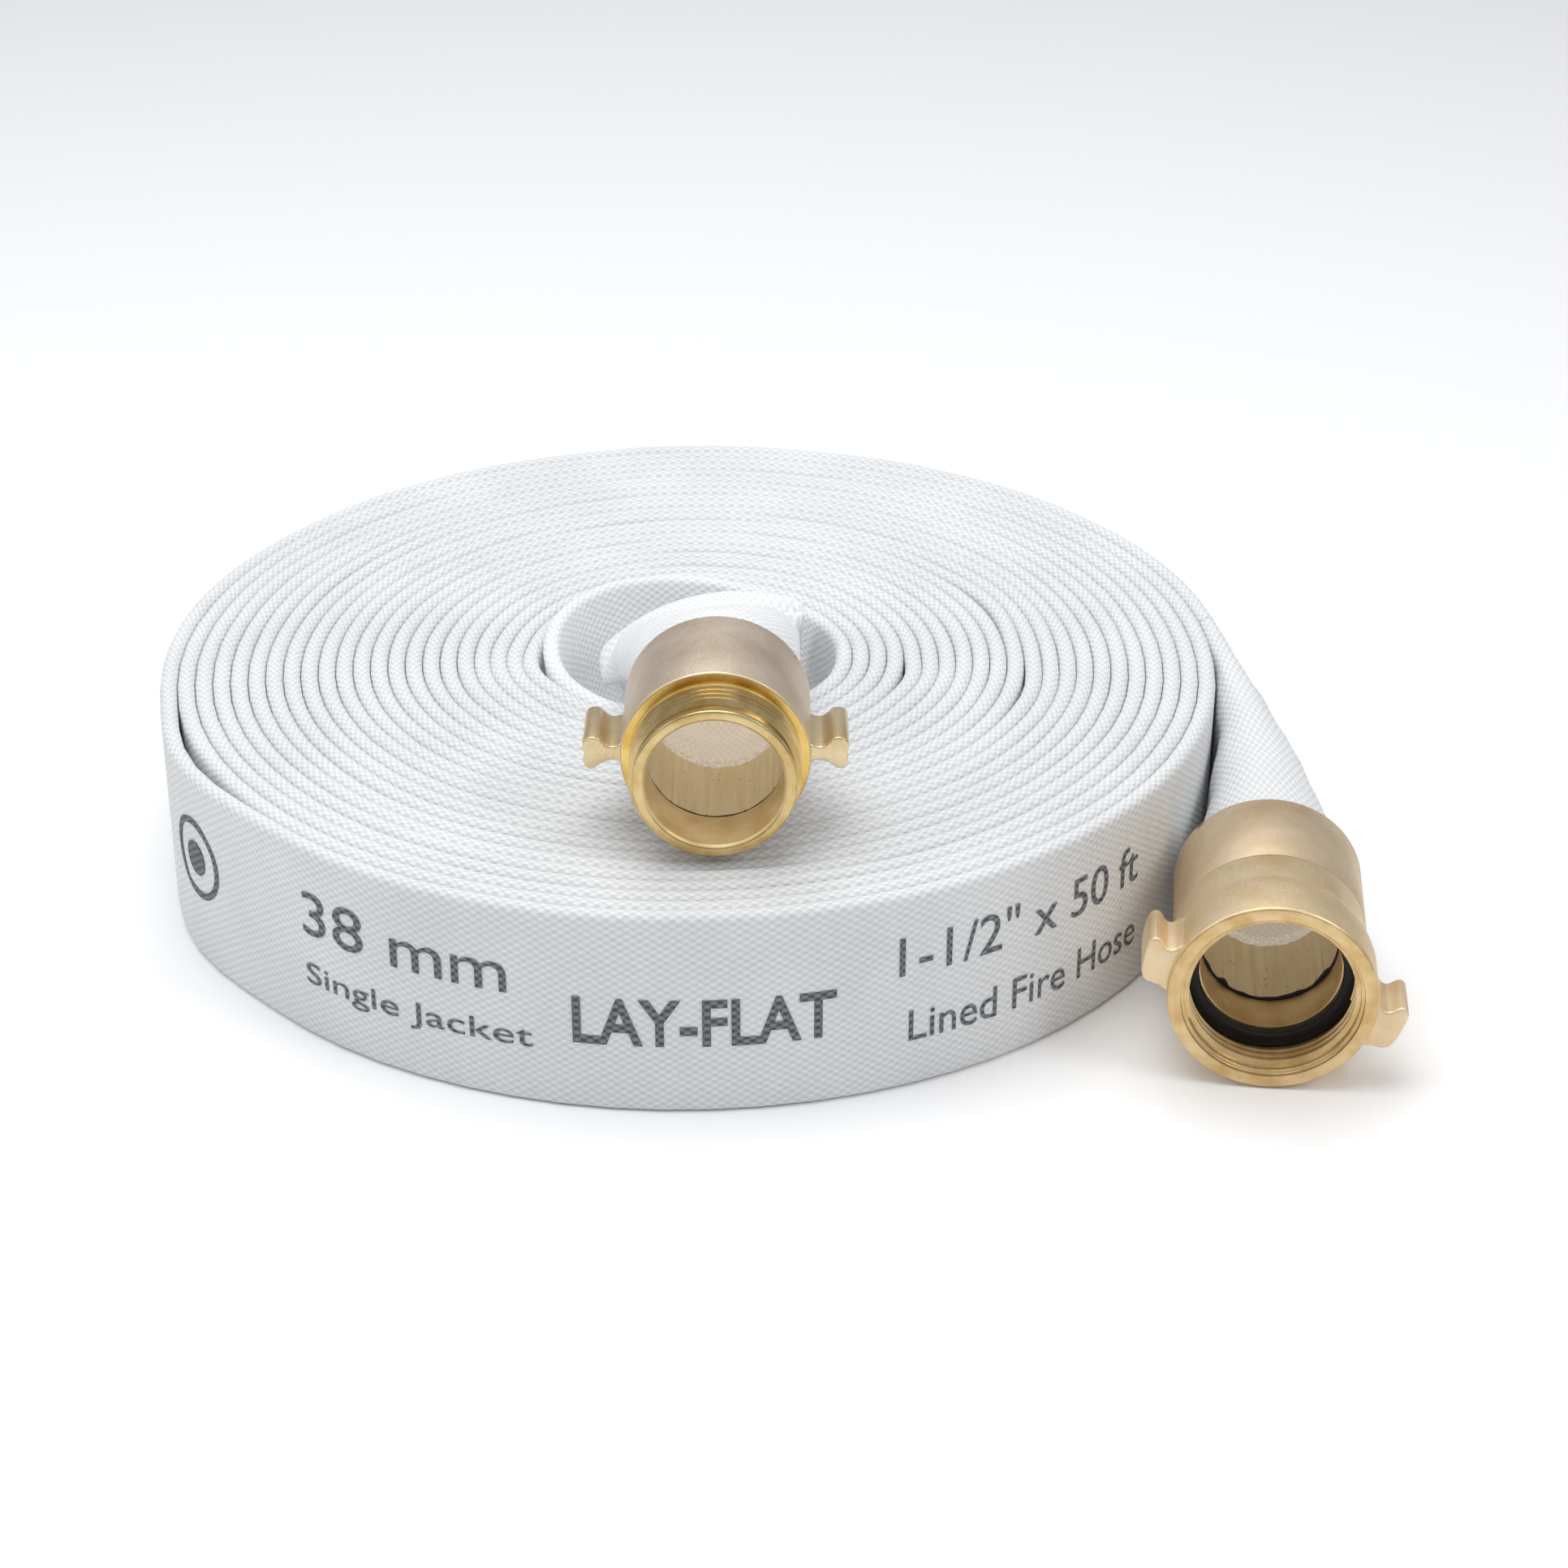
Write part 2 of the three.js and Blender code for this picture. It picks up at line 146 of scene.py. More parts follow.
def skin(rows, columns, place, lined=(0, 0)):
    """A tube of cloth from a grid: place(row, column) gives a point, and its place on the cloth.
    Rows between the two of `lined` take the second material."""
    bm = bmesh.new()
    bmesh.ops.create_grid(bm, x_segments=rows, y_segments=columns, size=1)
    cloth = bm.loops.layers.uv.new("cloth")
    spots = {}
    for vert in bm.verts:
        cell = round((vert.co.x + 1) / 2 * rows), round((vert.co.y + 1) / 2 * columns)
        spots[vert] = place(*cell)
    for face in bm.faces:
        face.smooth = True
        row = (face.calc_center_median().x + 1) / 2 * rows
        face.material_index = int(lined[0] < row < lined[1])
        for loop in face.loops:
            loop[cloth].uv = spots[loop.vert][1]
    for vert, (point, _) in spots.items():
        vert.co = point
    bmesh.ops.remove_doubles(bm, verts=bm.verts, dist=1e-7)
    return bm


def make(name, bm, materials, sharp=None):
    """An object of this mesh, with edges sharper than `sharp` degrees kept crisp."""
    if sharp is not None:
        for face in bm.faces:
            face.smooth = True
        for edge in bm.edges:
            edge.smooth = not (len(edge.link_faces) == 2
                               and edge.calc_face_angle(0) > math.radians(sharp))
    mesh = bpy.data.meshes.new(name)
    bm.to_mesh(mesh)
    bm.free()
    piece = bpy.data.objects.new(name, mesh)
    bpy.context.collection.objects.link(piece)
    for material in materials:
        mesh.materials.append(material)
    return piece


def colour(code):
    """An sRGB hex colour as linear red, green, blue and alpha."""
    parts = [int(code[i:i + 2], 16) / 255 for i in (1, 3, 5)]
    return [p / 12.92 if p <= 0.04045 else ((p + 0.055) / 1.055) ** 2.4 for p in parts] + [1]


def node(tree, kind, inputs=None, **settings):
    """Adds a node with its settings; inputs are values, or sockets to link."""
    made = tree.nodes.new(kind)
    for name, value in settings.items():
        setattr(made, name, value)
    for socket, value in (inputs or {}).items():
        if isinstance(value, bpy.types.NodeSocket):
            tree.links.new(value, made.inputs[socket])
        else:
            made.inputs[socket].default_value = value
    return made


def finish(name, **constants):
    """A material with these constants on its shader's own sockets."""
    material = bpy.data.materials.new(name)
    material.use_nodes = True
    shader = material.node_tree.nodes["Principled BSDF"]
    for socket, value in constants.items():
        shader.inputs[socket.replace("_", " ")].default_value = value
    return material, material.node_tree, shader


WARP_STEP, WEFT_STEP = 1.77 * MM, 1.165 * MM  # between threads, along and around


def weave(tree):
    """How far the threads of a plain weave stand up, from 0 to 1, on the cloth's own map."""
    cloth = node(tree, "ShaderNodeUVMap", uv_map="cloth")
    wobble = node(tree, "ShaderNodeTexNoise", {"Vector": cloth.outputs[0], "Scale": 90.0,
                                               "Detail": 1.0})
    shift = node(tree, "ShaderNodeVectorMath", {0: wobble.outputs["Color"], 1: (0.5,) * 3},
                 operation="SUBTRACT")
    small = node(tree, "ShaderNodeVectorMath", {0: shift.outputs[0], "Scale": 0.7 * MM},
                 operation="SCALE")
    place = node(tree, "ShaderNodeVectorMath", {0: cloth.outputs[0], 1: small.outputs[0]},
                 operation="ADD")
    split = node(tree, "ShaderNodeSeparateXYZ", {0: place.outputs[0]})
    waves = []
    for socket, step in ((0, WARP_STEP), (1, WEFT_STEP)):
        phase = node(tree, "ShaderNodeMath", {0: split.outputs[socket], 1: math.pi / step},
                     operation="MULTIPLY")
        waves.append(node(tree, "ShaderNodeMath", {0: phase.outputs[0]}, operation="COSINE"))
    both = node(tree, "ShaderNodeMath", {0: waves[0].outputs[0], 1: waves[1].outputs[0]},
                operation="MULTIPLY")
    return node(tree, "ShaderNodeMapRange", {0: both.outputs[0], 1: -0.75, 2: 0.75},
                interpolation_type="SMOOTHSTEP").outputs[0]


# Painted glow on the jacket: where it begins and is full along the hose, and its strength.
LIT_FROM, LIT_FULLY = 14.55, 14.75  # metres along the hose
PAINTED_GLOW = 0.11


def woven(name, thread, gap, bump, **constants):
    """Woven polyester filament: raised threads of one colour over darker gaps, and a painted
    glow far along the hose.
    """
    material, tree, shader = finish(name, **constants)
    height = weave(tree)
    where = node(tree, "ShaderNodeTexCoord")
    cloudy = node(tree, "ShaderNodeTexNoise", {"Vector": where.outputs["Object"], "Scale": 28.0,
                                               "Detail": 4.0})
    tone = node(tree, "ShaderNodeMapRange", {0: cloudy.outputs[0], 1: 0.35, 2: 0.65, 3: 0.94,
                                             4: 1.0})
    base = node(tree, "ShaderNodeMix", {0: height, 6: colour(gap), 7: colour(thread)},
                data_type="RGBA")
    toned = node(tree, "ShaderNodeVectorMath", {0: base.outputs[2], "Scale": tone.outputs[0]},
                 operation="SCALE")
    tree.links.new(toned.outputs[0], shader.inputs["Base Color"])
    raised = node(tree, "ShaderNodeBump", {"Height": height, "Distance": bump, "Strength": 1.0})
    tree.links.new(raised.outputs[0], shader.inputs["Normal"])
    # Painted glow: far along the hose, at its loose inner end, the cloth emits a faint light in
    # place of light through the thin cloth.
    cloth = node(tree, "ShaderNodeUVMap", uv_map="cloth")
    along = node(tree, "ShaderNodeSeparateXYZ", {0: cloth.outputs[0]})
    lit = node(tree, "ShaderNodeMapRange", {0: along.outputs[0], 1: LIT_FROM, 2: LIT_FULLY,
                                            3: 0.0, 4: PAINTED_GLOW})
    tree.links.new(lit.outputs[0], shader.inputs["Emission Strength"])
    return material


# White polyester: dull, with a soft sheen off the filaments and pale grey gaps, and a painted
# glow at its inner end.
jacket_white = woven("woven_white_polyester_painted_glow", "#edeeef", "#d8dadb", 0.16 * MM,
                     Roughness=0.78, Sheen_Weight=0.12, Sheen_Roughness=0.4,
                     Emission_Color=colour("#f4f5f4"))

roll_columns = outline_columns(4, 12)
# The innermost lap is loose at the back: it stands up and leans on the next one.
LOOSE_MIDDLE, LOOSE_HALF = 170, 95  # degrees back from the hose's inner end
LEAN, RISE = math.radians(16), 6.5 * MM


def on_roll(row, column):
    turned = TAU * row / STEPS_A_TURN if row < ROLL_ROWS else TAU * TURNS
    middle = lap_place(turned)
    across, through = hose_outline(roll_columns[column], LAP / 2)
    # Only the upper edge is uneven. The lower one is flat on the floor.
    middle.z -= (middle.z - FLAT_WIDTH / 2) * (0.5 - across / FLAT_WIDTH)
    out = Vector((math.cos(OUTER_END + turned), math.sin(OUTER_END + turned), 0))
    loose = bell(math.degrees(TAU * TURNS - turned) - LOOSE_MIDDLE, LOOSE_HALF)
    lean, rise = LEAN * loose, RISE * loose
    middle += Vector((0, 0, rise)) - out * (FLAT_WIDTH / 2 - rise) * math.tan(lean)
    up = Vector((0, 0, math.cos(lean))) + out * math.sin(lean)
    facing = out * math.cos(lean) - Vector((0, 0, math.sin(lean)))
    point = middle + up * across + facing * through
    return point, (lap_length(turned), roll_columns[column])


ROLL_ROWS = math.ceil(TURNS * STEPS_A_TURN)
bm = skin(ROLL_ROWS, len(roll_columns) - 1, on_roll)
ends = [edge for edge in bm.edges if edge.is_boundary]
bmesh.ops.holes_fill(bm, edges=ends, sides=0)
for edge in ends:
    edge.smooth = False
bmesh.ops.recalc_face_normals(bm, faces=bm.faces)
hose_roll = make("hose_roll_jacket", bm, [jacket_white])
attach(hose_roll, "roll")
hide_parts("hose_roll")

# ---- Printing on the outer lap ---------------------------------------------
# Dark grey ink stamped on the jacket after weaving: the hose's size and kind.
# It sits on the threads' tops, so the gaps of the weave show through it.
ink_grey = woven("stamped_grey_ink", "#4a4d50", "#83888c", 0.2 * MM, Roughness=0.8)
INK_STAND = 0.12 * MM  # proud of the jacket
DEGREE, FACET = 2.9, 2.5  # mm round the outer lap, and between a mark's cuts


def on_outer_lap(x, z):
    """A point `x` radians of bearing and `z` up the outer lap, and its place on the cloth."""
    turned = (x - OUTER_END) % TAU
    middle = lap_place(turned)
    out = Vector((math.cos(x), math.sin(x), 0))
    edge = FOLD_QUARTER + z - (middle.z - FLAT_WIDTH / 2) - LAP / 2
    point = middle + out * (LAP / 2 + INK_STAND)
    return Vector((point.x, point.y, z)), (lap_length(turned), edge)


def stamp(name, bm, left, right, low, high):
    """Fits a flat mark between two bearings in degrees and two heights in mm, on the lap."""
    xs, ys = [v.co.x for v in bm.verts], [v.co.y for v in bm.verts]
    x0, y0 = min(xs), min(ys)
    wide, tall = max(xs) - x0, max(ys) - y0
    cuts = max(2, round((right - left) * DEGREE / FACET))
    for i in range(1, cuts):
        bmesh.ops.bisect_plane(bm, geom=bm.verts[:] + bm.edges[:] + bm.faces[:], dist=1e-7,
                               plane_co=(x0 + wide * i / cuts, 0, 0), plane_no=(1, 0, 0))
    bmesh.ops.triangulate(bm, faces=bm.faces)
    cloth = bm.loops.layers.uv.new("cloth")
    for vert in bm.verts:
        vert.co.x = math.radians(left + (right - left) * (vert.co.x - x0) / wide)
        vert.co.y = (low + (high - low) * (vert.co.y - y0) / tall) * MM
    for face in bm.faces:
        for loop in face.loops:
            loop[cloth].uv = on_outer_lap(loop.vert.co.x, loop.vert.co.y)[1]
    for vert in bm.verts:
        vert.co = on_outer_lap(vert.co.x, vert.co.y)[0]
    bmesh.ops.recalc_face_normals(bm, faces=bm.faces)
    bm.normal_update()
    flipped = [f for f in bm.faces if f.normal.dot(f.calc_center_median() - AXIS) < 0]
    bmesh.ops.reverse_faces(bm, faces=flipped)
    mark = make(name, bm, [ink_grey])
    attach(mark, "roll")


def lettering(words, weight=0.0):
    """The flat outline of some words."""
    text = bpy.data.curves.new("words", "FONT")
    text.body, text.size, text.offset = words, 1, weight
    text.resolution_u = 4
    holder = bpy.data.objects.new("words", text)
    bpy.context.collection.objects.link(holder)
    mesh = bpy.data.meshes.new_from_object(holder)
    bpy.data.objects.remove(holder)
    bm = bmesh.new()
    bm.from_mesh(mesh)
    bpy.data.meshes.remove(mesh)
    return bm


stamp("print_bore", lettering("38 mm"), -131, -107, 35, 49)
stamp("print_kind", lettering("Single Jacket"), -131, -104.5, 16.5, 25.5)
stamp("print_layflat", lettering("LAY-FLAT", 0.02), -100.5, -74.8, 22, 37)
stamp("print_size", lettering('1-1/2" x 50 ft'), -68.4, -36.5, 37, 50)
stamp("print_use", lettering("Lined Fire Hose"), -67.3, -36.5, 15.5, 25.5)
bm = bmesh.new()
band = bm.edges.new([bm.verts.new((radius, 0, 0)) for radius in (0.84, 1)])
bmesh.ops.spin(bm, geom=[*band.verts, band], axis=(0, 0, 1), angle=TAU, steps=64,
               use_merge=True)
bmesh.ops.create_circle(bm, segments=48, radius=0.42, cap_ends=True)
stamp("print_ring", bm, -154.7, -145.3, 23, 49)

# ---- The tails --------------------------------------------------------------
# The same hose where it leaves the roll. It opens from flat to round and is
# clamped in a coupling. Its liner is a cream rubberised film, bonded inside.
LINER_DEPTH = 2 * MM  # of the jacket and liner together


def station(x, y, z, width, half, bow=0):
    """A place in mm from the roll's axis, which way the hose is wide there, half its
    thickness, and how far its edges droop."""
    return {"place": AXIS + Vector((x, y, z)) * MM, "width": Vector(width),
            "half": half * MM, "bow": bow * MM}


def through_points(points, passed):
    """A smooth curve through the points, at a count of points passed."""
    k = min(int(passed), len(points) - 2)
    before = points[k - 1] if k else 2 * points[0] - points[1]
    after = points[k + 2] if k + 2 < len(points) else 2 * points[-1] - points[-2]
    four = [before, points[k], points[k + 1], after]
    d = [math.sqrt((four[i + 1] - four[i]).length) for i in range(3)]

    def slope(i):
        a, b, c = four[i:i + 3]
        return ((b - a) / d[i] - (c - a) / (d[i] + d[i + 1]) + (c - b) / d[i + 1]) * d[1]
    t = passed - k
    start, end = slope(0), slope(1)
    return ((2 * t ** 3 - 3 * t ** 2 + 1) * four[1] + (t ** 3 - 2 * t ** 2 + t) * start
            + (3 * t ** 2 - 2 * t ** 3) * four[2] + (t ** 3 - t ** 2) * end)


def sections(stations, start, end, count):
    """Places along a route, with the hose's width, thickness and length so far at each."""
    points = [s["place"] for s in stations]
    found, length = [], 0
    for i in range(count + 1):
        passed = start + (end - start) * i / count
        k = min(int(passed), len(stations) - 2)
        f = passed - k
        f = f * f * (3 - 2 * f)
        a, b = stations[k], stations[k + 1]
        middle = through_points(points, passed)
        ahead = through_points(points, min(passed + 0.01, len(points) - 1))
        behind = through_points(points, max(passed - 0.01, 0))
        along = (ahead - behind).normalized()
        width = a["width"].lerp(b["width"], f)
        width = (width - along * width.dot(along)).normalized()
        if found:
            length += (middle - found[-1]["middle"]).length
        found.append({
            "middle": middle, "width": width, "out": width.cross(along), "length": length,
            "half": a["half"] + (b["half"] - a["half"]) * f,
            "bow": a["bow"] + (b["bow"] - a["bow"]) * f,
        })
    return found


def on_section(section, edge, inset=0.0):
    """A point on the hose's outline at a section, or as far as `inset` inside it."""
    half = section["half"]
    across, through = hose_outline(edge, half)
    share = max(half - inset, 0.4 * MM) / half
    flat = max(AROUND / 4 - math.pi * half / 2, 0)
    if inset:
        side = max(-flat, min(flat, across))
        across = side + (across - side) * share
        through *= share
    sag = section["bow"] * (across / (FLAT_WIDTH / 2)) ** 2
    return section["middle"] + section["width"] * across + section["out"] * (through - sag)


def solid_hose(found, columns, run):
    """Pressed hose with both ends closed."""
    bm = skin(len(found) - 1, len(columns) - 1, lambda row, column: (
        on_section(found[row], columns[column]), (run + found[row]["length"], columns[column])))
    ends = [edge for edge in bm.edges if edge.is_boundary]
    bmesh.ops.holes_fill(bm, edges=ends, sides=0)
    for edge in ends:
        edge.smooth = False
    bmesh.ops.recalc_face_normals(bm, faces=bm.faces)
    return bm


def open_hose(found, columns, run):
    """Hose with a wall: out along the jacket, then back along the liner."""
    last = len(found) - 1
    rows = 2 * last + 2

    def place(row, column):
        inside = last < row < rows
        at = rows - 1 - row if inside else row % rows
        section, edge = found[at], columns[column]
        point = on_section(section, edge, LINER_DEPTH if inside else 0)
        return point, (run + section["length"], edge)
    # The first quarter is pressed shut, and its inside is jacket too.
    bm = skin(rows, len(columns) - 1, place, lined=(last, rows - last / 4))
    bmesh.ops.recalc_face_normals(bm, faces=bm.faces)
    return bm


def coupling_place(place, yaw):
    """A coupling's own frame: Z out of its mouth, Y up, X to the right seen from there."""
    mouth = Vector((math.sin(yaw), -math.cos(yaw), 0))
    up = Vector((0, 0, 1))
    turn = Matrix((up.cross(mouth), up, mouth)).transposed().to_4x4()
    return Matrix.Translation(AXIS + Vector(place) * MM) @ turn


MALE = coupling_place((9.4, -138, 90), 0)
FEMALE = coupling_place((163.2, -151, 29.6), math.radians(-6))


def socket(place, behind, half, width):
    """A station on a coupling's axis, this many mm behind its mouth."""
    return {"place": place @ Vector((0, 0, -behind * MM)), "width": Vector(width),
            "half": half * MM, "bow": 0}


# Cream film: smooth, marked with the net of the weave behind it. It has a painted glow,
# standing in for daylight through the thin white jacket and film.
liner_cream_painted_glow, tree, shader = finish("cream_rubberised_liner_painted_glow", Roughness=0.42,
                                   Emission_Color=colour("#f6eee2"), Emission_Strength=0.24)
where = node(tree, "ShaderNodeTexCoord")
net = node(tree, "ShaderNodeTexVoronoi", {"Vector": where.outputs["Object"], "Scale": 620.0},
           feature="DISTANCE_TO_EDGE")
line = node(tree, "ShaderNodeMapRange", {0: net.outputs["Distance"], 1: 0.02, 2: 0.12})
film = node(tree, "ShaderNodeMix", {0: line.outputs[0], 6: colour("#c4b39d"),
                                    7: colour("#efe8dc")}, data_type="RGBA")
tree.links.new(film.outputs[2], shader.inputs["Base Color"])
raised = node(tree, "ShaderNodeBump", {"Height": line.outputs[0], "Distance": 0.2 * MM})
tree.links.new(raised.outputs[0], shader.inputs["Normal"])
liner_net_painted_glow = {}
for end, glow in (("male", 0.21), ("female", 0.14)):  # painted glow, stronger at the male end, which lies in more light
    liner_net_painted_glow[end], tree, shader = finish(f"cream_liner_over_weave_painted_glow_{end}", Roughness=0.42,
                                          Emission_Color=colour("#f6eee2"),
                                          Emission_Strength=glow)
    threads = weave(tree)
    film = node(tree, "ShaderNodeMix", {0: threads, 6: colour("#e4dcd0"), 7: colour("#f1ece3")},
                data_type="RGBA")
    tree.links.new(film.outputs[2], shader.inputs["Base Color"])
    raised = node(tree, "ShaderNodeBump", {"Height": threads, "Distance": 0.2 * MM})
    tree.links.new(raised.outputs[0], shader.inputs["Normal"])
for end in ("male", "female"):
    frame["nodes"][f"{end}_hose_liner"].data.materials.clear()
    frame["nodes"][f"{end}_hose_liner"].data.materials.append(liner_cream_painted_glow)

inner_leave = (42.46 * math.cos(math.radians(-60)), 42.46 * math.sin(math.radians(-60)), 31.7)
ROUND, CLAMPED = 21.09, 22.4  # mm, the hose's radius where it is open and in its coupling
RISER_FROM, TAIL_FROM = 14.82, 14.95  # metres along the hose
inner_route = [
    station(*inner_leave, (0, 0, 1), 2.5),
    station(27, -30.8, 32, (0, 0, 1), 2.5),
    station(29.5, -19, 34.7, (-0.1, -0.2, 1), 2.5),
    station(17, -5, 43, (-0.6, -0.5, 0.5), 2.5),
    station(4, 7, 60, (-1, -0.25, 0), 2.6, 5),
    station(0.5, 5, 75.5, (-1, -0.3, -0.14), 3, 13),
    station(0.5, -10, 77.5, (-1, -0.3, -0.15), 3.6, 12),
    station(5, -33, 82.5, (-1, -0.12, -0.05), 9.5, 4),
    station(8.4, -57, 88, (-1, 0, -0.03), 15, 1),
    socket(MALE, 51.5 + 12, ROUND, (-1, 0, 0)),
    socket(MALE, 51.5, CLAMPED, (-1, 0, 0)),
    socket(MALE, 22, CLAMPED, (-1, 0, 0)),
]
FOLD = 4.6  # stations from the roll, where the riser ends
tail_columns = outline_columns(4, 16)
riser_sections = sections(inner_route, 0.05, FOLD, 60)
inner_riser = make("inner_riser_jacket", solid_hose(riser_sections, tail_columns, RISER_FROM),
                   [jacket_white])
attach(inner_riser, "roll")
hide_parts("inner_riser")

inner_sections = sections(inner_route, FOLD, len(inner_route) - 1, 96)
inner_tail = make("inner_tail_jacket", open_hose(inner_sections, tail_columns, TAIL_FROM),
                  [jacket_white, liner_net_painted_glow["male"]])
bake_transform(inner_tail)
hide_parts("inner_tail")

outer_leave = (164.5 * math.cos(OUTER_END), 164.5 * math.sin(OUTER_END), 31.7)
outer_width = (0.05, 0, 1)
outer_route = [
    station(*outer_leave, (0, 0, 1), 2.6),
    station(166, 0, 31.6, (0, 0, 1), 3.4),
    station(169.3, -26, 31, (0.02, 0, 1), 8.5),
    station(171.2, -50, 30.2, (0.05, 0, 1), 15),
    socket(FEMALE, 67 + 12, ROUND, outer_width),
    socket(FEMALE, 67, CLAMPED, outer_width),
    socket(FEMALE, 37, CLAMPED, outer_width),
]
outer_sections = sections(outer_route, 0, len(outer_route) - 1, 90)
outer_tail = make("outer_tail_jacket", open_hose(outer_sections, tail_columns, 0),
                  [jacket_white, liner_net_painted_glow["female"]])
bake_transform(outer_tail)
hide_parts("outer_tail")

# ---- Male coupling ------------------------------------------------------------
# One brass casting, blasted outside, with its bore, thread and shoulder turned.
# Two rocker lugs take a spanner. The hose is clamped in the bowl behind.


def blasted(name, at, light, dark, stains=(), dull=(0.42, 0.6)):
    """Sand-cast brass, bead blasted: dull, pinkish tan, with an even fine grain.
    Each stain is a place in mm in the coupling's own frame, and its radius."""
    material, tree, shader = finish(name, Metallic=1.0, Roughness=0.5)
    where = node(tree, "ShaderNodeTexCoord")
    grain = node(tree, "ShaderNodeTexNoise", {"Vector": where.outputs["Object"],
                                              "Scale": 1900.0, "Detail": 2.0})
    cloudy = node(tree, "ShaderNodeTexNoise", {"Vector": where.outputs["Object"],
                                               "Scale": 70.0, "Detail": 5.0})
    blend = node(tree, "ShaderNodeMapRange", {0: cloudy.outputs[0], 1: 0.3, 2: 0.7})
    base = node(tree, "ShaderNodeMix", {0: blend.outputs[0], 6: colour(dark),
                                        7: colour(light)}, data_type="RGBA")
    shade = base.outputs[2]
    for place, size in stains:
        centre = at @ (Vector(place) * MM)
        away = node(tree, "ShaderNodeVectorMath", {0: where.outputs["Object"], 1: centre},
                    operation="DISTANCE")
        frayed = node(tree, "ShaderNodeMath", {0: grain.outputs[0], 1: size * 0.9 * MM,
                                               2: away.outputs["Value"]},
                      operation="MULTIPLY_ADD")
        share = node(tree, "ShaderNodeMapRange", {0: frayed.outputs[0], 1: size * 0.8 * MM,
                                                  2: size * 1.4 * MM, 3: 0.75, 4: 0.0})
        shade = node(tree, "ShaderNodeMix", {0: share.outputs[0], 6: shade,
                                             7: colour("#7a4a2c")}, data_type="RGBA").outputs[2]
    tree.links.new(shade, shader.inputs["Base Color"])
    rough = node(tree, "ShaderNodeMapRange", {0: grain.outputs[0], 1: 0.3, 2: 0.7,
                                              3: dull[0], 4: dull[1]})
    tree.links.new(rough.outputs[0], shader.inputs["Roughness"])
    raised = node(tree, "ShaderNodeBump", {"Height": grain.outputs[0], "Distance": 0.05 * MM})
    tree.links.new(raised.outputs[0], shader.inputs["Normal"])
    return material


def turned_brass(name, at, light, dark, roughness, metal=1.0):
    """Brass cut on a lathe: bright yellow, with fine rings left by the tool."""
    material, tree, shader = finish(name, Metallic=metal, Roughness=roughness)
    where = node(tree, "ShaderNodeTexCoord")
    local = node(tree, "ShaderNodeMapping", {"Vector": where.outputs["Object"],
                                             "Location": at.translation,
                                             "Rotation": at.to_euler()},
                 vector_type="TEXTURE")
    split = node(tree, "ShaderNodeSeparateXYZ", {0: local.outputs[0]})
    flat = node(tree, "ShaderNodeCombineXYZ", {0: split.outputs[0], 1: split.outputs[1]})
    radius = node(tree, "ShaderNodeVectorMath", {0: flat.outputs[0]}, operation="LENGTH")
    ring = node(tree, "ShaderNodeCombineXYZ", {0: radius.outputs["Value"], 1: split.outputs[2]})
    lines = node(tree, "ShaderNodeTexNoise", {"Vector": ring.outputs[0], "Scale": 2600.0,
                                              "Detail": 3.0})
    stain = node(tree, "ShaderNodeTexNoise", {"Vector": where.outputs["Object"],
                                              "Scale": 120.0, "Detail": 6.0})
    blend = node(tree, "ShaderNodeMapRange", {0: stain.outputs[0], 1: 0.38, 2: 0.62})
    base = node(tree, "ShaderNodeMix", {0: blend.outputs[0], 6: colour(dark),
                                        7: colour(light)}, data_type="RGBA")
    tree.links.new(base.outputs[2], shader.inputs["Base Color"])
    rough = node(tree, "ShaderNodeMapRange", {0: lines.outputs[0], 1: 0.3, 2: 0.7,
                                              3: roughness * 0.75, 4: roughness * 1.4})
    tree.links.new(rough.outputs[0], shader.inputs["Roughness"])
    raised = node(tree, "ShaderNodeBump", {"Height": lines.outputs[0], "Distance": 0.015 * MM})
    tree.links.new(raised.outputs[0], shader.inputs["Normal"])
    return material


male_blasted = blasted("blasted_cast_brass_male", MALE, "#e4d5c3", "#cebca6",
                       [((22, 14.4, -49), 0.9)])
male_rubbed = blasted("rubbed_cast_brass_lugs", MALE, "#efdcb6", "#dcc294", dull=(0.24, 0.38))
male_turned = turned_brass("turned_brass_male", MALE, "#dcc38e", "#c2a56c", 0.2)
male_bore = turned_brass("reamed_brass_bore", MALE, "#ecd6a6", "#dcc085", 0.4, 0.45)
shoulder_yellow = turned_brass("fresh_cut_brass_shoulder", MALE, "#f2d183", "#e0b75f", 0.25)


def spun(outline, steps=144, lip=0.25):
    """A ring turned from a closed outline of (radius, distance behind the mouth) in mm."""
    bm = bmesh.new()
    corners = [bm.verts.new((r * MM, 0, -behind * MM)) for r, behind in outline]
    edges = [bm.edges.new((corners[i - 1], corners[i])) for i in range(len(corners))]
    bmesh.ops.spin(bm, geom=corners + edges, cent=(0, 0, 0), axis=(0, 0, 1), angle=TAU,
                   steps=steps, use_merge=True)
    bmesh.ops.remove_doubles(bm, verts=bm.verts, dist=1e-7)
    bmesh.ops.recalc_face_normals(bm, faces=bm.faces)
    if lip:
        crisp = [e for e in bm.edges if e.calc_face_angle(0) > math.radians(28)]
        bmesh.ops.bevel(bm, geom=crisp, offset=lip * MM, affect="EDGES", segments=2,
                        profile=0.5, material=-1, clamp_overlap=True)
    return bm


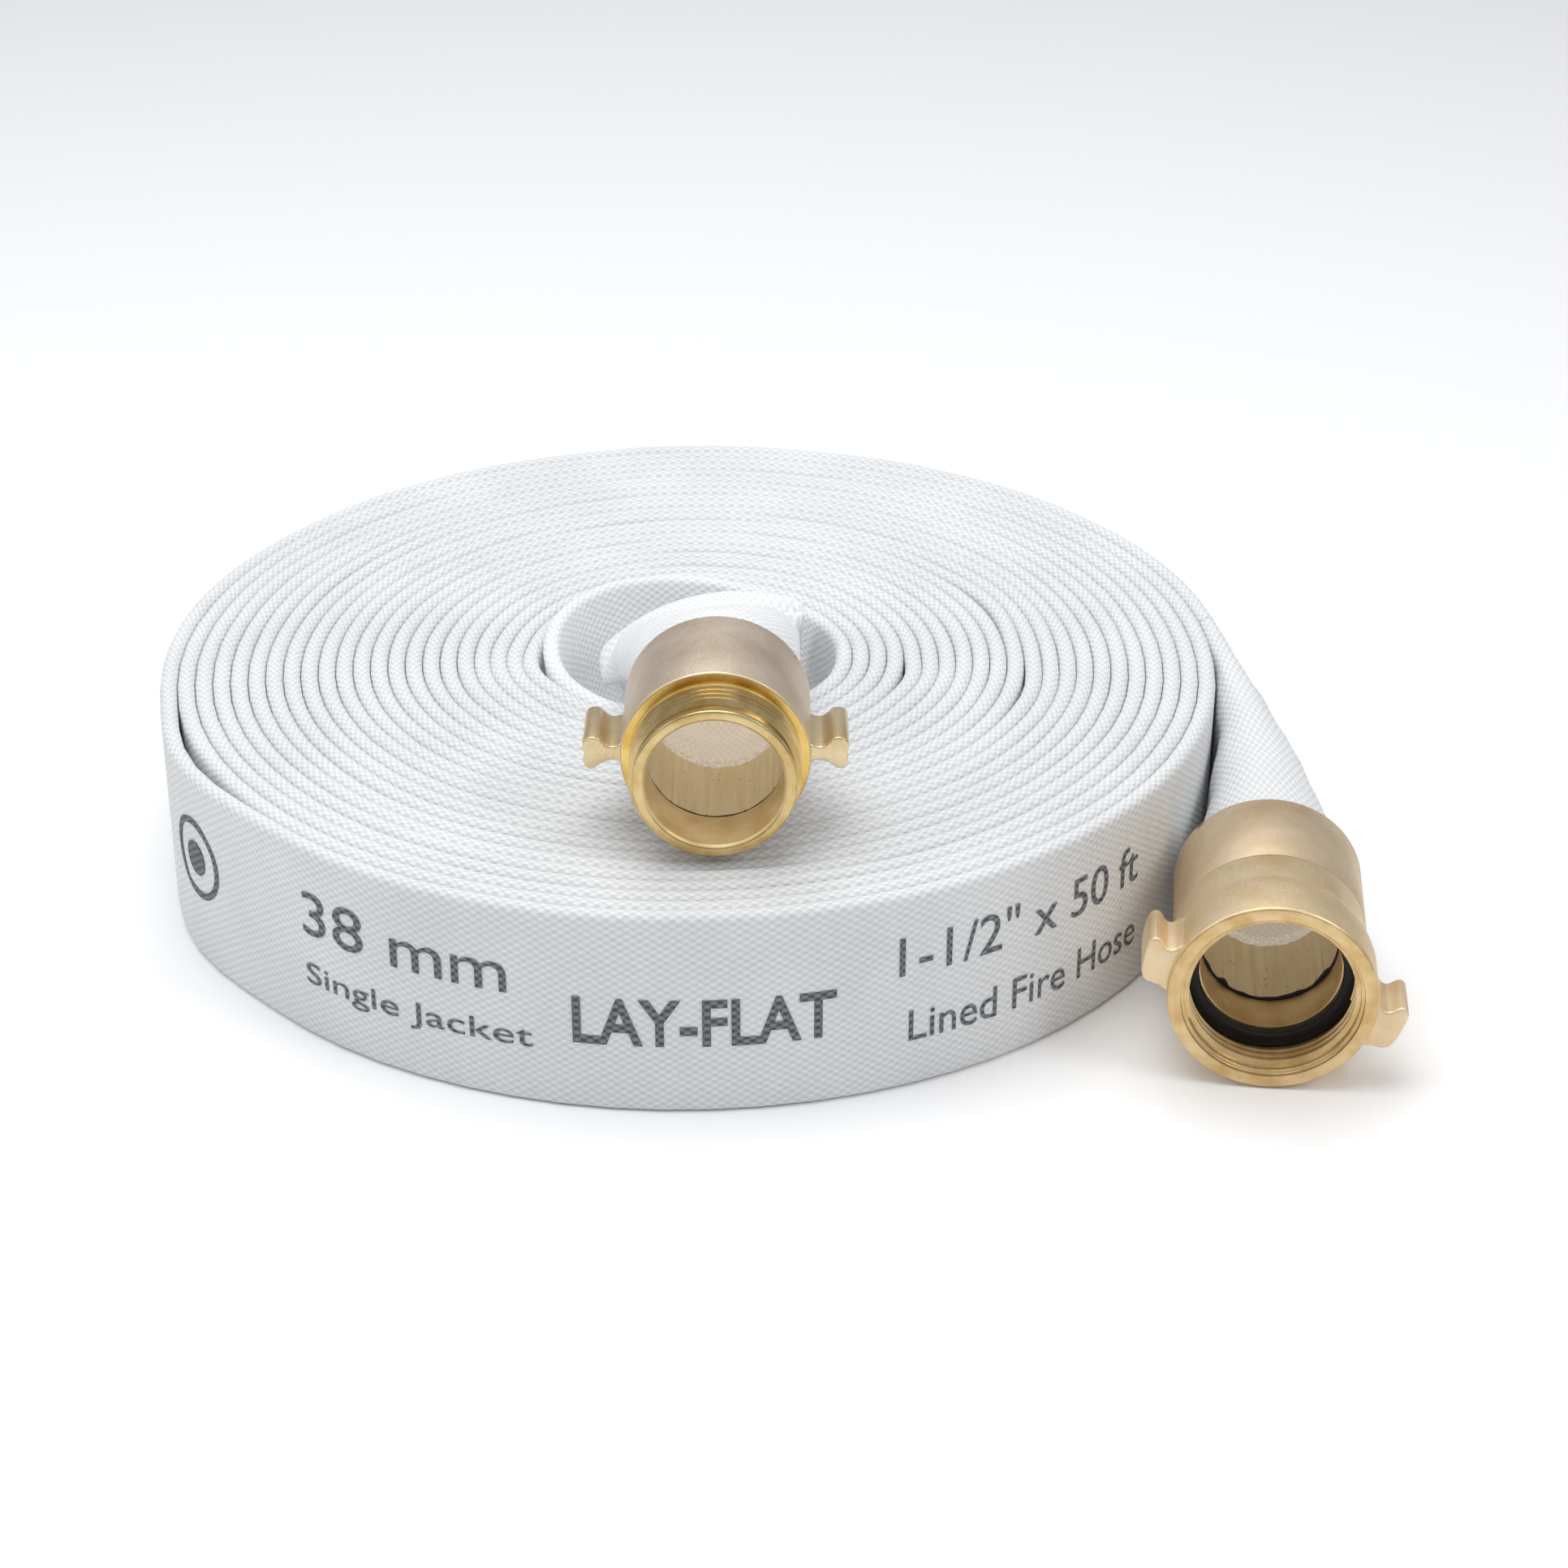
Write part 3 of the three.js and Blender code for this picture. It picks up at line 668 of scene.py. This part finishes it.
def add_thread(bm, profile, first, turns, pitch, steps=96):
    """A ridge wound round the axis, right-handed, from `first` mm behind the mouth."""
    before = set(bm.verts)
    corners = [bm.verts.new((r * MM, 0, (z - first - turns * pitch) * MM)) for r, z in profile]
    face = bm.faces.new(corners)
    count = round(turns * steps)
    bmesh.ops.spin(bm, geom=[face], cent=(0, 0, 0), axis=(0, 0, 1), angle=TAU * turns,
                   steps=count, dvec=(0, 0, turns * pitch * MM / count))
    ridge = [f for f in bm.faces if not before.intersection(f.verts)]
    bmesh.ops.remove_doubles(bm, verts=list({v for f in ridge for v in f.verts}), dist=1e-7)
    ridge = [f for f in bm.faces if not before.intersection(f.verts)]
    bmesh.ops.recalc_face_normals(bm, faces=ridge)


def add_lug(bm, outline, front, back, side, edge, material=0):
    """A rocker lug on one side, from its outline, run along the coupling's axis."""
    before = set(bm.verts)
    corners = [bm.verts.new((side * x * MM, y * MM, -back * MM)) for x, y in outline]
    face = bm.faces.new(corners)
    made = bmesh.ops.extrude_face_region(bm, geom=[face])["geom"]
    bmesh.ops.translate(bm, verts=[v for v in made if isinstance(v, bmesh.types.BMVert)],
                        vec=(0, 0, (back - front) * MM))
    lug = [f for f in bm.faces if not before.intersection(f.verts)]
    bmesh.ops.recalc_face_normals(bm, faces=lug)
    for face in lug:
        face.material_index = material
    rims = {e for f in lug if abs(f.normal.z) > 0.9 for e in f.edges}
    bmesh.ops.bevel(bm, geom=list(rims), offset=edge * MM, affect="EDGES", segments=4,
                    profile=0.5, material=-1, clamp_overlap=True)


male_outline = [
    (19.05, 16.5), (19.05, 0.9), (19.9, 0), (22.1, 0), (22.45, 0.4), (22.45, 3.2),
    (22.3, 3.6), (22.3, 14.6), (23.3, 15.4), (25.8, 15.4), (26.3, 15.9), (26.3, 51),
    (25.8, 51.5), (23.4, 51.5), (22.8, 50.9), (22.8, 16.5),
]
male_lug = [
    (25.6, 3.6), (26.5, 2.8), (27.5, 2.3), (28.7, 2.1), (29.9, 2.4), (30.9, 3.2), (31.8, 4.2),
    (32.7, 4.9), (33.8, 5.1), (35, 5.0), (36, 4.4), (36.7, 3.3), (36.8, 2.0), (36.3, 0),
    (36.6, -2.4), (36.2, -4), (35, -4.8), (33.6, -4.4), (32, -3.2), (30.2, -2.2), (28.7, -1.9),
    (27.3, -2.1), (26.4, -2.7), (25.6, -3.6),
]
bm = spun(male_outline)
add_thread(bm, [(22.1, -0.9), (23.75, -0.25), (23.75, 0.25), (22.1, 0.9)], 3.9, 3.7, 2.5)
for face in bm.faces:
    middle = face.calc_center_median() / MM
    radius = math.hypot(middle.x, middle.y)
    outside = radius > 25.95 or (radius > 22.9 and middle.z < -51)
    shoulder = not outside and radius > 22.4 and -15.6 < middle.z < -14.7
    face.material_index = 0 if outside else 2 if radius < 19.5 else 3 if shoulder else 1
for side in (1, -1):
    add_lug(bm, male_lug, 18, 37, side, 0.7, material=4)
bmesh.ops.transform(bm, matrix=MALE, verts=bm.verts)
male_body = make("male_body_brass", bm, [male_blasted, male_turned, male_bore, shoulder_yellow,
                                        male_rubbed], sharp=32)
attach(male_body, "male_end")
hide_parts("male_coupling_body")

# ---- Expansion rings and tail gaskets -----------------------------------------
# A soft brass ring is swelled inside the hose by a segmented tool, which leaves
# a line at each joint. The gasket under its front edge squeezes out unevenly.
SEGMENTS = 11


def swelled_brass(name, at):
    """Annealed brass tube: pale and half dull, streaked along by the tool, with dark flecks."""
    material, tree, shader = finish(name, Metallic=0.5, Roughness=0.4)
    where = node(tree, "ShaderNodeTexCoord")
    local = node(tree, "ShaderNodeMapping", {"Vector": where.outputs["Object"],
                                             "Location": at.translation,
                                             "Rotation": at.to_euler()},
                 vector_type="TEXTURE")
    drawn = node(tree, "ShaderNodeMapping", {"Vector": local.outputs[0],
                                             "Scale": (1, 1, 0.08)})
    streak = node(tree, "ShaderNodeTexNoise", {"Vector": drawn.outputs[0], "Scale": 420.0,
                                               "Detail": 4.0})
    fleck = node(tree, "ShaderNodeTexNoise", {"Vector": local.outputs[0], "Scale": 900.0,
                                              "Detail": 2.0})
    share = node(tree, "ShaderNodeMapRange", {0: streak.outputs[0], 1: 0.35, 2: 0.65})
    base = node(tree, "ShaderNodeMix", {0: share.outputs[0], 6: colour("#e4d5ae"),
                                        7: colour("#f0e5c8")}, data_type="RGBA")
    dark = node(tree, "ShaderNodeMapRange", {0: fleck.outputs[0], 1: 0.7, 2: 0.76})
    both = node(tree, "ShaderNodeMix", {0: dark.outputs[0], 6: base.outputs[2],
                                        7: colour("#6d5a3c")}, data_type="RGBA")
    tree.links.new(both.outputs[2], shader.inputs["Base Color"])
    raised = node(tree, "ShaderNodeBump", {"Height": streak.outputs[0], "Distance": 0.03 * MM})
    tree.links.new(raised.outputs[0], shader.inputs["Normal"])
    return material


rubber_black, tree, shader = finish("moulded_black_rubber", Base_Color=colour("#101112"),
                                    Roughness=0.5)
where = node(tree, "ShaderNodeTexCoord")
skin_grain = node(tree, "ShaderNodeTexNoise", {"Vector": where.outputs["Object"],
                                               "Scale": 1500.0, "Detail": 3.0})
rough = node(tree, "ShaderNodeMapRange", {0: skin_grain.outputs[0], 3: 0.38, 4: 0.7})
tree.links.new(rough.outputs[0], shader.inputs["Roughness"])
raised = node(tree, "ShaderNodeBump", {"Height": skin_grain.outputs[0], "Distance": 0.05 * MM})
tree.links.new(raised.outputs[0], shader.inputs["Normal"])

for end, at, shoulder in (("male", MALE, 16.5), ("female", FEMALE, 31)):
    ring_brass = swelled_brass(f"swelled_ring_brass_{end}", at)
    front, back = shoulder + 0.9, shoulder + 29.3
    bm = bmesh.new()
    corners = [bm.verts.new((19.05 * MM, 0, -(front + (back - front) * i / 12) * MM))
               for i in range(13)]
    edges = [bm.edges.new(corners[i:i + 2]) for i in range(12)]
    bmesh.ops.spin(bm, geom=corners + edges, cent=(0, 0, 0), axis=(0, 0, 1), angle=TAU,
                   steps=SEGMENTS * 24, use_merge=True)
    bmesh.ops.remove_doubles(bm, verts=bm.verts, dist=1e-7)
    for vert in bm.verts:
        bearing = math.atan2(vert.co.y, vert.co.x)
        off = (bearing * SEGMENTS / TAU) % 1
        off = min(off, 1 - off)  # of a segment, from the joint
        line = math.exp(-((off / 0.035) ** 2))
        radius = 19.2 - 0.3 * line + 0.12 * math.cos(TAU * off)
        behind = -vert.co.z / MM
        if behind > back - 0.1:
            vert.co.z -= 0.45 * noise.noise(Vector((bearing * 2.5, end == "male", 1))) * MM
        vert.co.xy = Vector((math.cos(bearing), math.sin(bearing))) * radius * MM
    bmesh.ops.recalc_face_normals(bm, faces=bm.faces)
    if sum(f.normal.xy.dot(f.calc_center_median().xy) for f in bm.faces) < 0:
        bmesh.ops.reverse_faces(bm, faces=bm.faces)
    bmesh.ops.solidify(bm, geom=bm.faces[:], thickness=-0.7 * MM)
    bmesh.ops.recalc_face_normals(bm, faces=bm.faces)
    bmesh.ops.transform(bm, matrix=at, verts=bm.verts)
    ring = make(f"{end}_swelled_ring", bm, [ring_brass], sharp=40)
    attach(ring, f"{end}_end")
    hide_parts(f"{end}_expansion_ring")

    bm = spun([(19.3, shoulder + 0.1), (22.4, shoulder + 0.1), (22.4, shoulder + 3.2),
               (20.2, shoulder + 3.2), (20.2, shoulder + 0.8), (19.3, shoulder + 0.8)], lip=0.2)
    for vert in bm.verts:
        radius = vert.co.xy.length / MM
        if radius < 19.9:
            bearing = math.atan2(vert.co.y, vert.co.x)
            push = noise.noise(Vector((math.cos(bearing) * 4, math.sin(bearing) * 4, 7)))
            push = push + 0.15 if end == "female" else 0
            squeeze = 0.1 + 1.2 * max(0, push)
            vert.co.xy *= (radius - squeeze) / radius
            if -vert.co.z / MM > shoulder + 0.4:
                vert.co.z -= 1.4 * max(0, push) * MM
    bmesh.ops.transform(bm, matrix=at, verts=bm.verts)
    gasket = make(f"{end}_tail_gasket_rubber", bm, [rubber_black], sharp=40)
    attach(gasket, f"{end}_end")
    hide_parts(f"{end}_tail_gasket")

# ---- Female coupling: bowl, swivel nut, gasket ---------------------------------
# The nut turns on a ball race round the bowl's tailpiece. Both are blasted brass
# castings with turned insides. The rubber gasket seals against a male thread's end.
female_blasted = blasted("blasted_cast_brass_female", FEMALE, "#e8d4b8", "#d6bd99",
                         [((-20.5, 18, -65), 2.2)])
nut_blasted = blasted("blasted_cast_brass_nut", FEMALE, "#f0dcba", "#e0c59b",
                      [((2, 28.2, -0.2), 0.9)])
female_turned = turned_brass("turned_brass_female", FEMALE, "#e4c796", "#cdab72", 0.3, 0.75)
female_seat = turned_brass("reamed_brass_seat", FEMALE, "#e6cc9a", "#d4b57c", 0.38, 0.5)
RACE, BALL = (24.3, 26.4), 1.59  # mm: the race's radius and place behind the mouth; a ball


def race_groove(face, side):
    """Half of the groove, cut into a wall of radius `face`, inwards (-1) or outwards (1)."""
    deep = RACE[0] + side * (BALL + 0.25)
    return [(face, RACE[1] - 2.15), (deep, RACE[1] - 1.15), (deep, RACE[1] + 1.15),
            (face, RACE[1] + 2.15)]


bm = spun([
    (19.65, 31), (19.65, 17.1), (24.1, 17.1), *race_groove(24.1, -1), (24.1, 33.3),
    (27.3, 33.3), (27.3, 65.4), (26.9, 66.4), (25.9, 67), (23.4, 67), (22.8, 66.2), (22.8, 31),
])
for face in bm.faces:
    middle = face.calc_center_median() / MM
    radius = math.hypot(middle.x, middle.y)
    face.material_index = 0 if radius > 25.5 else 2 if radius < 20 else 1
bmesh.ops.transform(bm, matrix=FEMALE, verts=bm.verts)
bowl = make("female_bowl_brass", bm, [female_blasted, female_turned, female_seat], sharp=32)
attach(bowl, "female_end")
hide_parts("female_bowl")

NUT = FEMALE @ Matrix.Rotation(math.radians(-15), 4, "Z")
bm = spun([
    (24.6, 13.3), (24.3, 13.3), (24.3, 1.6), (25.3, 1.2), (25.3, 0), (28.6, 0), (29.1, 0.5),
    (29.2, 1.2), (29.2, 14.2), (28.9, 16.4), (28.2, 18.6), (27.6, 20.3), (27.3, 22), (27.3, 33),
    (24.6, 33), *reversed(race_groove(24.6, 1)),
])
add_thread(bm, [(24.5, -0.9), (22.95, -0.3), (22.95, 0.3), (24.5, 0.9)], 2.6, 3.6, 2.6)
for face in bm.faces:
    middle = face.calc_center_median() / MM
    radius = math.hypot(middle.x, middle.y)
    face.material_index = 0 if radius > 26.2 and middle.z < -0.3 else 1
nut_lug = [
    (27, 9.2), (28.4, 7.4), (29.6, 5.9), (30.8, 5.0), (32, 4.9), (33, 5.5), (33.9, 6.6),
    (34.9, 7.4), (36, 7.5), (37, 6.9), (37.6, 5.7), (37.75, 4), (37.6, 1), (37.2, -2),
    (36.6, -4.4), (35.6, -6), (34.2, -6.7), (32.4, -6.8), (30.6, -6.9), (28.8, -7.6), (27, -9),
]
for side in (1, -1):
    add_lug(bm, nut_lug, 2, 18, side, 1.3)
bmesh.ops.transform(bm, matrix=NUT, verts=bm.verts)
nut = make("swivel_nut_brass", bm, [nut_blasted, female_turned], sharp=32)
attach(nut, "swivel")
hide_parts("swivel_nut")

bm = spun([(20.1, 14.1), (20.5, 13.6), (24.1, 13.6), (24.3, 13.9), (24.3, 16.7), (20.1, 16.7)],
          lip=0.35)
bmesh.ops.transform(bm, matrix=FEMALE, verts=bm.verts)
seal = make("swivel_gasket_rubber", bm, [rubber_black], sharp=40)
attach(seal, "swivel")
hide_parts("swivel_gasket")

# ---- Ball race ------------------------------------------------------------------
# Hardened steel balls roll in the hidden groove, fed in through a hole that a
# steel plug closes. They are ground bright, with fine scuffs.
ball_steel, tree, shader = finish("ground_bearing_steel", Metallic=1.0, Roughness=0.2)
where = node(tree, "ShaderNodeTexCoord")
scuff = node(tree, "ShaderNodeTexNoise", {"Vector": where.outputs["Object"], "Scale": 2200.0,
                                          "Detail": 2.0})
tone = node(tree, "ShaderNodeMix", {0: scuff.outputs[0], 6: colour("#8f9396"),
                                    7: colour("#c9ccce")}, data_type="RGBA")
tree.links.new(tone.outputs[2], shader.inputs["Base Color"])
rough = node(tree, "ShaderNodeMapRange", {0: scuff.outputs[0], 3: 0.12, 4: 0.35})
tree.links.new(rough.outputs[0], shader.inputs["Roughness"])
for name, part in frame["nodes"].items():
    if name.startswith("race_ball") or name == "ball_race_plug":
        part.data.materials.clear()
        part.data.materials.append(ball_steel)

# ---- Studio ----------------------------------------------------------------------
# A white table with a faint gloss, under a large overhead softbox and two side ones.
bm = bmesh.new()
bmesh.ops.create_grid(bm, x_segments=1, y_segments=1, size=6)
table, tree, shader = finish("white_table", Base_Color=colour("#ffffff"), Roughness=0.12)
floor = make("table_top", bm, [table])

world = bpy.data.worlds.new("studio")
world.use_nodes = True
tree = world.node_tree
where = node(tree, "ShaderNodeTexCoord")
height = node(tree, "ShaderNodeSeparateXYZ", {0: where.outputs["Generated"]})
sky = node(tree, "ShaderNodeMapRange", {0: height.outputs[2], 1: 0.0, 2: 0.9, 3: 0.4, 4: 0.6})
tree.links.new(sky.outputs[0], tree.nodes["Background"].inputs[1])
tree.nodes["Background"].inputs[0].default_value = colour("#fafcff")
bpy.context.scene.world = world


def softbox(name, place, aim, size, power):
    light = bpy.data.lights.new(name, "AREA")
    light.shape, light.size, light.size_y = "RECTANGLE", *size
    light.energy = power
    holder = bpy.data.objects.new(name, light)
    holder.location = place
    holder.rotation_euler = (Vector(aim) - Vector(place)).to_track_quat("-Z", "Y").to_euler()
    bpy.context.collection.objects.link(holder)


softbox("overhead", (-0.15, 0.05, 1.5), (0, 0, 0), (1.6, 1.1), 14)
softbox("left", (-1.3, -0.3, 1.0), (0, 0, 0.05), (0.7, 0.8), 3.5)
softbox("right", (1.1, -0.7, 1.1), (0, 0, 0.05), (0.5, 0.5), 4)
bpy.context.scene.view_settings.view_transform = "Standard"
